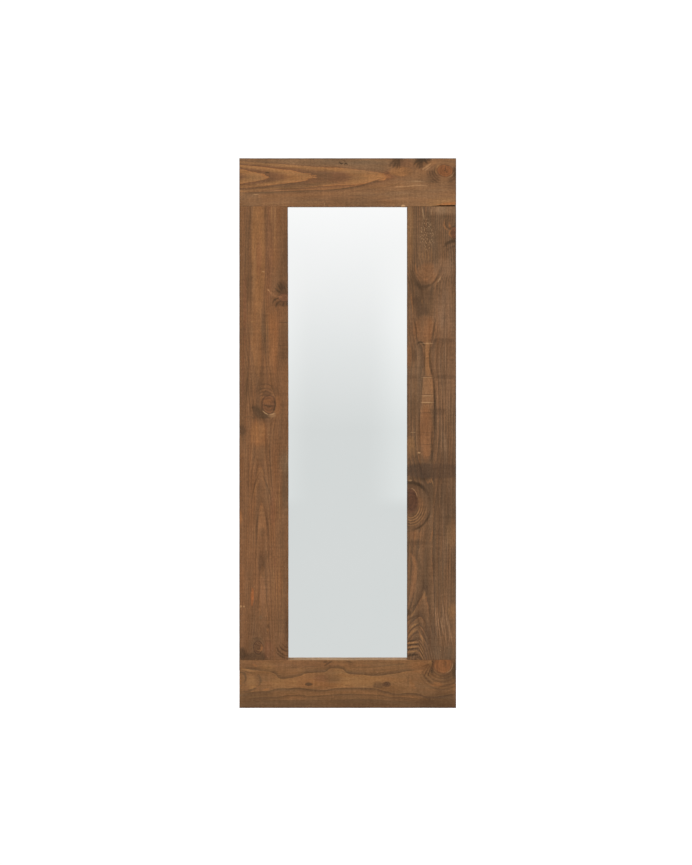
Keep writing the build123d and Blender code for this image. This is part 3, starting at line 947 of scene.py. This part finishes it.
    # The nested arches below the big knot.
    wood.stains(ORANGE, (900, -293, 44.5, 26, 0.35), (626, -355, 21.5, 9.5, 0.6))
    wood.stains(TAN, (905, -293, 26, 21.5, 0.2))
    wood.stains(DARK, (910, -348, 18, 15.5, 0.6))
    wood.strokes(DARK, (928, -322, 633, -330, 5, 0.5), (892, -263, 643, -242, 4, 0.4, -1))
    wood.stains(UMBER, (833, -288, 29.5, 20.5, 0.4))
    wood.strokes(DARK, (776, -287, 663, -313, 5, 0.6, 8), (776, -287, 649, -250, 5, 0.6, -9.5))
    wood.strokes(TAN, (756, -285, 692, -307, 4, 0.35, 6), (738, -224, 600, -223, 5, 0.45))
    wood.stains(UMBER, (699, -281, 36, 19.5, 0.35))
    wood.stains(ROSY, (654, -246, 60.5, 7.5, 0.5))
    wood.stains(GREY, (728, -200, 88.5, 14, 0.45))
    wood.stains(DARK, (731, -197, 49, 11.5, 0.3))
    # Two pale tongues, a chip down to bare wood, and small marks.
    wood.strokes(DARK, (660, -282, 535, -297, 6.5, 0.5, 8.5), (660, -282, 535, -259, 6.5, 0.5, -8.5))
    wood.stains(paint(144, 102, 68), (613, -282, 42.5, 12, 0.65, 0.3, 0.4))
    wood.stains(paint(140, 98, 66), (561, -279, 55.5, 15, 0.35))
    wood.stains(UMBER, (576, -279, 18, 9, 0.45))
    wood.stains(DARK, (471, -282, 31, 11, 0.45, 0.5), (269, -260, 6.5, 3.5, 0.75))
    wood.strokes(DARK, (440, -277, 328, -291, 5, 0.6, 5.5), (440, -277, 328, -267, 5, 0.6, -4))
    wood.stains(paint(144, 102, 71), (384, -279, 46, 10, 0.65, 0.3, 0.4))
    wood.strokes(paint(166, 98, 54), (397, -313, 331, -316, 10.5, 0.85, -2))
    wood.strokes(ROSY, (495, -240, 459, -238, 8, 0.5), (531, -255, 515, -252, 8, 0.5))
    for along, across in ((535, -245), (524, -234), (535, -225), (524, -214)):
        wood.strokes(TAN, (along, across, 223, across + 1, 4, 0.3))
    wood.stains(PALE, (333, -351, 3.5, 3.5, 0.7), (333, -340, 3, 3.5, 0.55))
    wood.stains(ORANGE, (254, -262, 4, 3.5, 0.5))
    wood.stains(GREY, (298, -285, 7, 5.5, 0.6))
    # The dark foot of the board round the lower knot.
    wood.strokes(BARK, (228, -315, 226, -279, 10, 0.7))
    wood.stains(UMBER, (220, -278, 115, 108, 0.4, 0.6), (192, -301, 31, 33, 0.4, 0.5))
    wood.stains(BARK, (167, -301, 16.5, 39.5, 0.6), (177, -347, 19.5, 15.5, 0.7))
    wood.stains(ROSY, (193, -260, 29, 16, 0.5))
    wood.strokes(
        BARK, (203, -234, 171, -189, 7, 0.7, 10.5), (210, -226, 186, -189, 6.5, 0.7, 8),
        (187, -236, 162, -196, 7, 0.7, 5.5), (213, -215, 197, -189, 5, 0.7, 5),
    )
    wood.stains(DARK, (253, -197, 62.5, 11.5, 0.5, 0.5))
    # Last, soft patches of painted shade and painted light, darker and lighter where the light falls
    # unevenly on the board.
    wood.stains(DARK, (953, -276, 22, 31, 0.42, 0.6))
    # The long band down the inner edge beside the glass is painted shade.
    wood.stains(UMBER, (1240, -327, 26, 19.5, 0.4, 0.6), (584, -199, 360.5, 23, 0.35, 0.5))
    wood.stains(GREY, (807, -206, 33, 19.5, 0.4, 0.6))
    wood.show_knots()
    # Cracks and pale rims on the knots.
    wood.strokes(BARK, (997, -282, 992, -238, 5, 0.8, 4))
    wood.stains(ORANGE, (1006, -263, 7, 11.5, 0.3))
    wood.arcs(BARK, (995, -259, 29.5, 20.5, 98, 50, 6.5, 0.7))
    wood.strokes(
        PALE, (976, -280, 962, -259, 3.5, 0.65, 1.5), (962, -260, 969, -232, 3.5, 0.5, 1.5),
        (1432, -282, 1430, -272, 3, 0.7),
    )
    wood.strokes(ORANGE, (211, -284, 184, -289, 8, 0.6, -5.5))
    wood.strokes(TAN, (190, -299, 187, -282, 4, 0.4), (1267, -319, 1267, -302, 3.5, 0.6))
    wood.strokes(paint(152, 106, 72), (1347, -212, 1350, -231, 7, 0.5))
    wood.finish(left_stile, LEFT_WASH)

# Right stile
# The upright board on the right, darker and greyer, with a long pale figure and a knot on its inner edge.
# The figure is laid on in three lengths, each with its own material.

right_stile = sawn_board("RightStile", "right_stile")
RIGHT_WASH = (1.12, 1.12, 1.11)
RIGHT_LENGTHS = ((0, 741), (741, 1279), (1279, 1803))
for start, end in RIGHT_LENGTHS:
    wood = Timber(f"right stile wood from {start}", "Z", start, end)
    # A knot at each edge, and rings that open and close along the board.
    wood.knot(
        679, 207, 40.5, 22.5, bend=0.8, seed=9.2, heart=paint(96, 65, 46), dark=paint(72, 50, 37),
        rim=0.3, figure=0.5, crack=0.0,
    )
    wood.knot(
        1558, 354, 18.5, 15, bend=0.8, seed=8.8, heart=paint(124, 80, 53), dark=paint(92, 62, 44),
        rim=0.5, figure=0.6, crack=0.0,
    )
    wood.rings(
        axis=[(160, 230), (245, 228), (301, 238), (383, 250), (550, 256), (780, 259), (1240, 259),
              (1645, 257)],
        pith=[(160, 18), (205, 32), (245, 46), (271, 53), (301, 60), (383, 67), (550, 71), (780, 64),
              (830, 59.5), (912, 56), (1082, 57.4), (1118, 59.3), (1168, 59.3), (1191, 57), (1240, 50),
              (1371, 44), (1411, 36), (1454, 16), (1645, 10)],
        pitch=7, start=4, jag=2.0,
        tones=[(0.0, paint(94, 70, 50)), (0.3, paint(106, 78, 54)), (0.62, paint(118, 86, 59)),
               (0.92, paint(128, 92, 62)), (0.985, paint(130, 90, 58))],
        plain=paint(114, 84, 58), calm=(70, 110, 0.5),
    )
    # The head of the board, where the planer has torn the grain.
    wood.stains(TAN, (1558, 204, 95, 13, 0.35, 0.5))
    wood.stains(paint(113, 84, 59), (1536, 267, 93.5, 42.5, 0.6))
    wood.stains(UMBER, (1545, 298, 19.5, 18, 0.5), (1612, 263, 18, 13, 0.4))
    wood.flecks(PALE, 1554, 261, 49, 23.5, 0.75, (170, 330), low=0.55, high=0.66)
    wood.strokes(PALE, (1641, 244, 1600, 251, 5, 0.4), (1640, 274, 1613, 274, 3.5, 0.35))
    for n in range(5):
        wood.strokes(TAN, (1515 - 13 * (n % 2), 234 + 10 * n, 1463, 235.5 + 10 * n, 4, 0.35))
    # The knot at the outer edge.
    wood.strokes(UMBER, (1623, 318, 1571, 326, 6, 0.75, 1.5))
    wood.strokes(DARK, (1604, 326, 1568, 340, 6, 0.6, 12))
    wood.strokes(
        ORANGE, (1598, 333, 1578, 358, 7, 0.75, 14), (1607, 320, 1563, 335, 6.5, 0.55, 11),
        (1577, 355, 1535, 351, 7, 0.85, 19),
    )
    wood.strokes(BARK, (1509, 312, 1529, 368, 12, 0.75, -10.5), (1569, 332, 1579, 362, 7, 0.7, -4.5))
    wood.strokes(DARK, (1495, 322, 1515, 368, 8, 0.6, -7.5))
    wood.stains(BARK, (1539, 352, 7, 10, 0.45))
    # Close straight grain down the outer side.
    wood.flecks(DARK, 731, 327, 770.5, 41, 0.45, (2.6, 200), low=0.48, high=0.62)
    wood.flecks(paint(150, 111, 80), 994, 327, 508, 41, 0.5, (4.2, 230), low=0.5, high=0.62)
    wood.flecks(paint(150, 112, 80), 272, 314, 101.5, 51, 0.3, (6, 260), low=0.5, high=0.6)
    wood.flecks(DARK, 322, 244, 295, 59, 0.35, (3, 110), low=0.5, high=0.64)
    wood.stains(paint(142, 110, 78), (1636, 322, 14, 46, 0.6, 0.5))
    wood.stains(paint(134, 94, 64), (1161, 276, 190, 105, 0.3))
    for n in range(6):
        along, far_along = 348 - 23 * (n % 3), 236 - 39 * (n % 2)
        wood.strokes(paint(160, 121, 88), (along, 284 + 8.8 * n, far_along, 296 + 9.8 * n, 3, 0.55))
    for n in range(5):
        along, far_along = 341 - 29 * (n % 2), 210 + 19.5 * (n % 3)
        wood.strokes(DARK, (along, 288 + 9 * n, far_along, 301 + 10 * n, 3, 0.4))
    # The bright bowl near the head, with a dark rim and shade below it.
    wood.stains(paint(144, 98, 63), (1424, 264, 32, 38.5, 0.55, 0.3))
    wood.strokes(BARK, (1436, 216, 1404, 293, 17.5, 0.8, 42.5), (1395, 283, 1463, 312, 8.5, 0.75, 4))
    wood.strokes(ORANGE, (1463, 223, 1417, 227, 4.5, 0.6, 2.5))
    wood.stains(UMBER, (1412, 213, 28, 10.5, 0.7))
    wood.strokes(PALE, (1394, 293, 1415, 306, 5, 0.5))
    wood.stains(UMBER, (1330, 247, 53.5, 43.5, 0.8))
    wood.stains(
        DARK, (1333, 230, 18, 19.5, 0.6), (1297, 244, 21.5, 19.5, 0.65), (1354, 268, 16.5, 11.5, 0.4),
    )
    wood.strokes(TAN, (1341, 243, 1325, 244, 3.5, 0.5))
    wood.strokes(ORANGE, (1377, 204, 1292, 214, 5, 0.45, -0.5))
    # The long pale figure in the middle, narrow at the waist, with saw marks across it.
    wood.stains(paint(142, 96, 61), (1241, 253, 44.5, 35, 0.7, 0.22))
    wood.stains(paint(150, 106, 68), (1148, 262, 59, 11, 0.85, 0.25, 0.3))
    wood.stains(paint(147, 105, 70), (1033, 262, 62.5, 20.5, 0.85, 0.2, 0.3))
    wood.stains(paint(142, 95, 60), (904, 256, 90, 22.5, 0.75, 0.25, 0.3))
    wood.strokes(
        BARK, (1292, 293, 1187, 274, 7, 0.6, 1.5), (1200, 274, 1086, 279, 8.5, 0.75, 7.5),
        (1095, 280, 892, 281, 8, 0.75, -4.5), (931, 278, 767, 279, 8, 0.7, 3),
        (1282, 214, 1204, 225, 6, 0.6, -4.5),
    )
    wood.arcs(BARK, (1177, 238, 23, 14.5, 12, 75, 6, 0.75))
    wood.strokes(
        BARK, (1187, 252, 1082, 250, 6.5, 0.7, -1), (1095, 246, 977, 238, 6, 0.6, 0.5),
        (984, 236, 853, 238, 5, 0.55, 2),
    )
    wood.strokes(UMBER, (866, 239, 807, 191, 6, 0.65, -15.5))
    wood.stains(GREY, (1089, 224, 105, 23, 0.28))
    wood.stains(DARK, (1153, 218, 21.5, 7.5, 0.45))
    wood.stains(UMBER, (990, 219, 39.5, 16.5, 0.5))
    wood.stains(ORANGE, (1154, 200, 33, 9, 0.25))
    for colour, along, amount in (
        (PALE, 1196, 0.5), (DARK, 1148, 0.55), (DARK, 1087, 0.5), (DARK, 1028, 0.6), (PALE, 1084, 0.45),
        (PALE, 1024, 0.45), (PALE, 1002, 0.7), (DARK, 997, 0.4), (DARK, 969, 0.45), (DARK, 903, 0.35),
        (DARK, 864, 0.4),
    ):
        wood.strokes(colour, (along, 239, along, 284, 3.5, amount))
    wood.strokes(PALE, (904, 204, 904, 224, 3, 0.4))
    wood.stains(
        DARK, (1205, 316, 7.5, 46, 0.4), (1086, 319, 7, 42.5, 0.4), (1085, 217, 7, 25.5, 0.3),
        (971, 301, 13, 21.5, 0.5),
    )
    wood.stains(PALE, (837, 234, 2.5, 4.5, 0.7))
    wood.stains(TAN, (872, 206, 19.5, 11.5, 0.3))
    # The dark band above the knot on the inner edge, and the rings round that knot.
    wood.stains(BARK, (774, 240, 29.5, 49, 0.52, 0.35), (763, 255, 18, 18, 0.5))
    wood.stains(paint(82, 62, 48), (778, 280, 25, 108, 0.55, 0.2, 0.4))
    wood.stains(DARK, (795, 312, 44.5, 49, 0.5, 0.6))
    wood.stains(BARK, (728, 217, 10, 26, 0.45, 0.5))
    wood.stains(paint(94, 69, 48), (669, 326, 92, 55.5, 0.55, 0.5))
    wood.stains(paint(110, 79, 54), (663, 229, 72, 41, 0.6, 0.25))
    wood.arcs(BARK, (664, 207, 75.5, 63, 8, 62, 12.5, 0.9))
    wood.arcs(DARK, (664, 207, 77.5, 64.5, 82, 55, 6, 0.45))
    wood.arcs(BARK, (669, 204, 85.5, 69, 142, 42, 7, 0.7))
    for n, amount in enumerate((0.6, 0.5, 0.5, 0.45)):
        wood.arcs(DARK, (676, 207, 48 + 8.4 * n, 28 + 7 * n, 148, 68, 4, amount))
    for n, amount in enumerate((0.5, 0.5, 0.45, 0.35)):
        wood.arcs(TAN, (676, 207, 52 + 8.5 * n, 31.5 + 7.3 * n, 154, 64, 3.5, amount))
    wood.stains(ORANGE, (669, 239, 23, 10, 0.2))
    wood.stains(PALE, (746, 205, 2.5, 5.5, 0.4))
    wood.strokes(TAN, (754, 273, 725, 283, 4.5, 0.5))
    wood.strokes(UMBER, (603, 230, 581, 211, 5, 0.5))
    # Shade and warm streaks below the knot.
    wood.strokes(ORANGE, (584, 278, 541, 268, 6, 0.6, -1.5))
    wood.stains(ORANGE, (567, 221, 14, 23, 0.2))
    wood.stains(TAN, (571, 342, 46, 19.5, 0.25))
    wood.stains(DARK, (543, 229, 9, 28, 0.5))
    wood.strokes(paint(146, 102, 67), (512, 204, 407, 217, 14, 0.85, -12.5))
    wood.strokes(paint(144, 100, 66), (453, 217, 348, 206, 12, 0.75, -2.5))
    wood.strokes(DARK, (499, 224, 394, 222, 4.5, 0.5, -5.5))
    wood.stains(UMBER, (459, 245, 69, 19.5, 0.6))
    wood.stains(DARK, (395, 253, 11.5, 8, 0.6))
    wood.stains(TAN, (371, 250, 14.5, 6.5, 0.3))
    wood.strokes(DARK, (394, 253, 318, 194, 6, 0.55, -10))
    wood.stains(BARK, (313, 197, 11, 9.5, 0.7))
    wood.strokes(TAN, (295, 204, 323, 222, 6, 0.5))
    # The striped peak at the foot, dark and pale by turns.
    wood.strokes(DARK, (284, 194, 303, 250, 7, 0.75, -7), (304, 248, 184, 283, 8, 0.75, 3))
    wood.strokes(TAN, (256, 203, 279, 233, 7, 0.65, -4))
    wood.strokes(DARK, (261, 213, 272, 230, 5, 0.65), (273, 229, 213, 257, 6, 0.65, -4.5))
    wood.strokes(TAN, (230, 196, 260, 230, 8, 0.6, -3.5), (259, 229, 203, 250, 6, 0.5, -3))
    wood.stains(UMBER, (237, 226, 10.5, 9.5, 0.5))
    for along, width, amount in ((216, 5.5, 0.8), (203, 5, 0.75), (189, 5, 0.8), (169, 8.5, 0.85)):
        wood.strokes(BARK, (along, 188, along + 6.5, 236, width, amount, -2))
        wood.strokes(BARK, (along + 7, 232, along - 32, 251, 4, 0.75 * amount, -1))
    for along in (210, 196, 181):
        wood.strokes(TAN, (along, 188, along + 6, 235, 6, 0.8, -1.5))
        wood.strokes(TAN, (along + 6, 233, along - 29, 251, 3.5, 0.55, -1))
    wood.stains(paint(92, 69, 50), (238, 273, 54, 18, 0.55))
    wood.stains(GREY, (181, 319, 23, 42.5, 0.35))
    # Last, soft patches of painted shade and painted light, darker and lighter where the light falls
    # unevenly on the board.
    wood.stains(
        UMBER, (403, 324, 39.5, 21.5, 0.5, 0.6), (1272, 246, 26, 17, 0.4, 0.6),
        (551, 267, 23, 19.5, 0.4, 0.6), (294, 267, 24.5, 19.5, 0.4, 0.6), (215, 285, 24.5, 18, 0.4, 0.6),
    )
    wood.stains(TAN, (315, 345, 26, 16.5, 0.45, 0.6), (851, 206, 24.5, 18, 0.3, 0.6))
    wood.stains(
        paint(150, 112, 82), (1302, 316, 75.5, 29.5, 0.42, 0.6), (1440, 314, 29.5, 34.5, 0.4, 0.6),
        (1638, 322, 18, 65.5, 0.4, 0.6),
    )
    wood.show_knots()
    wood.arcs(PALE, (680, 206, 40.5, 23.5, 38, 42, 3, 0.4))
    wood.stains(BARK, (682, 196, 39.5, 5, 0.35))
    wood.finish(right_stile, RIGHT_WASH)

# Dowels
# Fluted beech pegs glued into both sides of the four butt joints, out of sight inside the boards.

BUMP_DEPTH = 0.3 * MM


def surface(name, light, dark, stretch, rough, detail=3.0, metallic=0.0, bump=0.0, grit=(400.0,) * 3):
    """A plain material: two tones mixed by stretched noise, an uneven sheen and a fine grain in relief."""
    made = bpy.data.materials.new(name)
    made.use_nodes = True
    place = put("TexCoord", tree=made.node_tree, out=3)
    mottle = spread(grains(place, stretch, detail))
    shader = made.node_tree.nodes["Principled BSDF"]
    join(over(mottle, light, dark), shader.inputs["Base Color"])
    join(put("MapRange", mottle, 0.0, 1.0, *rough), shader.inputs["Roughness"])
    shader.inputs["Metallic"].default_value = metallic
    if bump:
        join(put("Bump", bump, BUMP_DEPTH, None, grains(place, grit, 2.0)), shader.inputs["Normal"])
    return made


def dress(node, material):
    """Gives a CAD node that is shown as it is its material."""
    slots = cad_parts[node].data.materials
    slots.clear()
    slots.append(material)


beech = surface(
    "turned beech", paint(206, 172, 128), paint(184, 146, 102), (60.0, 60.0, 8.0), (0.6, 0.75), bump=0.2
)
dress("joint_dowels", beech)

# Corner plates
# Flat pressed-steel plates screwed over the back of each joint, zinc plated and a little dull.

zinc = surface(
    "zinc plate", paint(186, 189, 194), paint(158, 161, 167), (70.0,) * 3, (0.3, 0.46), detail=4.0,
    metallic=1.0, bump=0.12, grit=(900.0,) * 3,
)
for level in ("bottom", "top"):
    for side in ("left", "right"):
        dress(f"corner_plate_{level}_{side}", zinc)

# Corner plate screws
# Countersunk steel screws, five to a plate, brighter than the plates where the driver has rubbed them.

bright_zinc = surface(
    "zinc screw", paint(204, 206, 208), paint(170, 172, 176), (260.0,) * 3, (0.22, 0.38), metallic=1.0
)
dress("corner_plate_screws", bright_zinc)

# Mirror glass
# Float glass silvered on its back, bedded in the rebate behind the boards.

glass = surface(
    "silvered glass", paint(252, 252, 252), paint(250, 251, 251), (3.0,) * 3, (0.0, 0.012), metallic=1.0
)
dress("mirror_glass", glass)

# Setting blocks
# Two hard rubber pads in the rebate of the bottom rail, on which the glass stands.

rubber = surface(
    "black rubber", paint(50, 50, 50), paint(38, 38, 38), (120.0,) * 3, (0.7, 0.85), bump=0.25
)
dress("setting_blocks", rubber)

# Foam strips
# Self-adhesive closed-cell foam laid round the back of the glass to cushion the backing.

foam = surface(
    "foam tape", paint(64, 64, 66), paint(50, 50, 52), (220.0,) * 3, (0.88, 0.97), bump=0.6,
    grit=(700.0,) * 3,
)
dress("foam_strips", foam)

# Backing board
# A sheet of smooth brown hardboard pressed into the rebate over the foam.

hardboard = surface(
    "hardboard", paint(150, 112, 78), paint(126, 91, 61), (130.0,) * 3, (0.5, 0.66), detail=6.0, bump=0.2,
    grit=(1100.0,) * 3,
)
dress("backing_board", hardboard)

# Turn buttons
# Small steel tongues, each turning on one screw, swung over the edge of the backing to hold it in.

for side in ("left", "right"):
    for number in range(1, 6):
        dress(f"turn_button_{side}_{number}", zinc)
dress("turn_button_bottom", zinc)
dress("turn_button_top", zinc)
dress("turn_button_screws", bright_zinc)

# Hangers
# A folded steel strap screwed to each stile, with a bent wire D-ring swinging in its loop.

for side in ("left", "right"):
    dress(f"hanger_strap_{side}", zinc)
    dress(f"d_ring_{side}", bright_zinc)
dress("hanger_screws", bright_zinc)

# Wall bumpers
# Four soft rubber domes stuck to the back, which keep the boards off the wall.

dress("wall_bumpers", rubber)

# Floor
# A low round plinth with an eased rim, matt white.

FLOOR_RADIUS = 0.75
FLOOR_DEPTH = 0.02
FLOOR_SIDES = 160
FLOOR_ROUND = 6 * MM
FLOOR_GLOW = 0.7
bpy.ops.object.select_all(action="DESELECT")
bpy.ops.mesh.primitive_cylinder_add(
    vertices=FLOOR_SIDES, radius=FLOOR_RADIUS, depth=FLOOR_DEPTH, location=(0, 0, -FLOOR_DEPTH / 2)
)
floor = bpy.context.object
floor.name = "Floor"
bpy.ops.object.transform_apply(location=True, rotation=True, scale=True)
ease_edges(floor, FLOOR_ROUND, segments=3)
white = bpy.data.materials.new("matt white")
white.use_nodes = True
tree = white.node_tree
speck = grains(put("TexCoord", tree=tree, out=3), (60.0, 60.0, 60.0), 3.0)
shader = tree.nodes["Principled BSDF"]
join(over(speck, paint(238, 238, 238), paint(244, 244, 244)), shader.inputs["Base Color"])
shader.inputs["Roughness"].default_value = 0.9
shader.inputs["Emission Color"].default_value = (1, 1, 1, 1)
join(times(put("LightPath", tree=tree), FLOOR_GLOW), shader.inputs["Emission Strength"])
floor.data.materials.append(white)

# Light
# A white studio: a bright wall behind the frame, a greyer room in front of it and a soft ceiling.
# The room is brighter to either side at waist height, which shows along the edges of the glass.

WALL_WHITE, ROOM_WHITE, ROOM_GREY = (1.05, 1.05, 1.05, 1), (1.0, 1.0, 1.0, 1), (0.682, 0.708, 0.702, 1)
ROOM_SPAN, GREY_BELOW, WHITE_ABOVE = (-0.2, 0.3), 0.29, 0.56
LANE_ASIDE, LANE_EDGE = 0.004, (0.014, 0.04)
WAIST_FOOT, WAIST_HEAD = (-0.1, -0.09), (-0.01, 0.06)
GLEAM = 0.115
FRONT_TO_BACK = (-0.25, 0.05)
world = bpy.data.worlds.new("studio")
bpy.context.scene.world = world
world.use_nodes = True
tree = world.node_tree
toward = put("TexCoord", tree=tree)
sideways, ahead, up = put("SeparateXYZ", toward).node.outputs
room = put("ValToRGB", put("MapRange", up, *ROOM_SPAN, 0.0, 1.0)).node
stops = room.color_ramp.elements
stops[0].position, stops[0].color = GREY_BELOW, ROOM_GREY
stops[1].position, stops[1].color = WHITE_ABOVE, ROOM_WHITE
lane = ease(sums("ABSOLUTE", plus(sideways, LANE_ASIDE)), *LANE_EDGE)
waist = times(ease(up, *WAIST_FOOT), fall(up, *WAIST_HEAD))
gleam = sums("MULTIPLY_ADD", times(lane, waist), GLEAM, 1.0)
lit_room = over(1.0, room.outputs[0], gleam, "MULTIPLY")
backdrop = tree.nodes["Background"]
join(over(ease(ahead, *FRONT_TO_BACK), lit_room, WALL_WHITE), backdrop.inputs["Color"])
backdrop.inputs["Strength"].default_value = 1.0

# Camera
# Square to the frame, above its middle, with the image shifted down so that the boards stay parallel.

PHOTO_WIDTH, PHOTO_HEIGHT = 692, 865
PIXEL = 3.279 * MM
FRAME_MIDDLE_PX = 347.72
FRAME_FOOT_PX = 708.05
EYE_HEIGHT = 1.23
EYE_DISTANCE = 5.8
SENSOR = 36.0
picture_height = PHOTO_HEIGHT * PIXEL
camera_data = bpy.data.cameras.new("Camera")
camera_data.sensor_width = SENSOR
camera_data.lens = SENSOR * EYE_DISTANCE / picture_height
middle_height = (FRAME_FOOT_PX - PHOTO_HEIGHT / 2) * PIXEL
camera_data.shift_y = (middle_height - EYE_HEIGHT) / picture_height
camera = bpy.data.objects.new("Camera", camera_data)
camera.location = ((PHOTO_WIDTH / 2 - FRAME_MIDDLE_PX) * PIXEL, board_front - EYE_DISTANCE, EYE_HEIGHT)
camera.rotation_euler = (math.radians(90), 0, 0)
bpy.context.collection.objects.link(camera)
bpy.context.scene.camera = camera
bpy.context.scene.view_settings.view_transform = "Standard"
